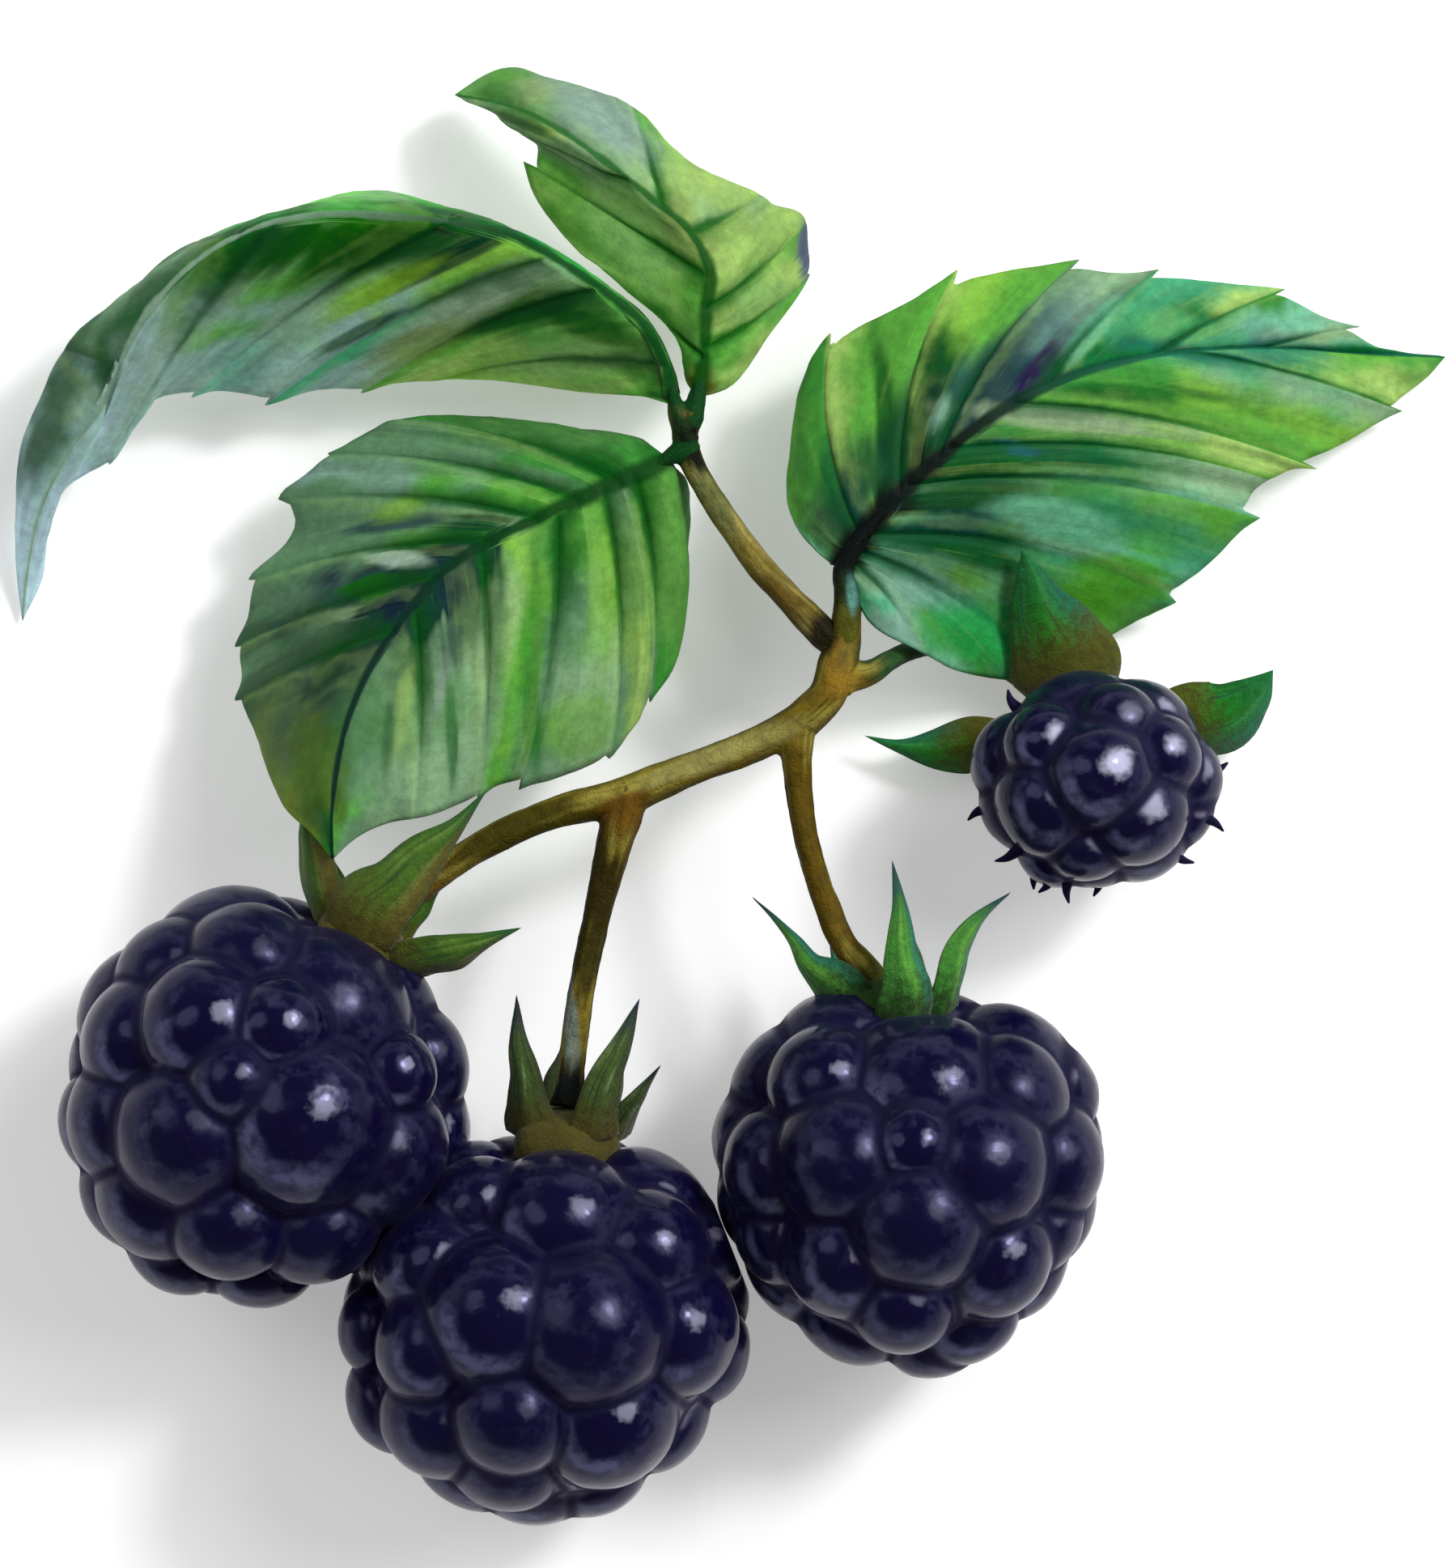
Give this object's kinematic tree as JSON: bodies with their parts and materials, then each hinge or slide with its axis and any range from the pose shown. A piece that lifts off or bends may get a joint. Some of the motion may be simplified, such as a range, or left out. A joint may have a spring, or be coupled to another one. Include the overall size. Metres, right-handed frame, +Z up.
{
  "type": "bramble sprig",
  "caption": "Cut bramble sprig lying on a surface: a forked stem with toothed leaves, leafy calyxes and ripe dark berries.",
  "frame": {"origin": "on the surface the sprig lies on, under the middle of its bounding box", "axes": "+Z up from the surface; +Y towards the leaves, -Y towards the free ends of the large berries; +X towards the small berry and the single leaf"},
  "size_m": [0.0902, 0.0909, 0.0243],
  "materials": {
    "bark": "smooth green-brown bark with olive and reddish streaks",
    "leaf_stalk": "matt olive green stalk",
    "leaf": "satin green leaf with sunken dark veins, blue-grey bloom on some areas",
    "sepal": "soft matt green, darker towards the tips",
    "drupelet": "glossy blue-black fruit skin with pale violet sheen"
  },
  "bodies": {
    "root": {"stem": "bark", "leaf_stalk": "leaf_stalk", "leaf_right_stalk": "leaf_stalk", "leaf_right": "leaf", "leaflet_lower": "leaf", "leaflet_top": "leaf", "leaflet_left": "leaf", "berry_left": "drupelet", "calyx_left": "sepal", "sepal_left_1": "sepal", "sepal_left_2": "sepal", "sepal_left_3": "sepal", "sepal_left_4": "sepal", "sepal_left_5": "sepal", "berry_middle": "drupelet", "calyx_middle": "sepal", "sepal_middle_1": "sepal", "sepal_middle_2": "sepal", "sepal_middle_3": "sepal", "sepal_middle_4": "sepal", "sepal_middle_5": "sepal", "berry_right": "drupelet", "calyx_right": "sepal", "sepal_right_1": "sepal", "sepal_right_2": "sepal", "sepal_right_3": "sepal", "sepal_right_4": "sepal", "sepal_right_5": "sepal", "berry_small": "drupelet", "calyx_small": "sepal", "sepal_small_1": "sepal", "sepal_small_2": "sepal", "sepal_small_3": "sepal", "sepal_small_4": "sepal", "sepal_small_5": "sepal"}
  },
  "joints": []
}
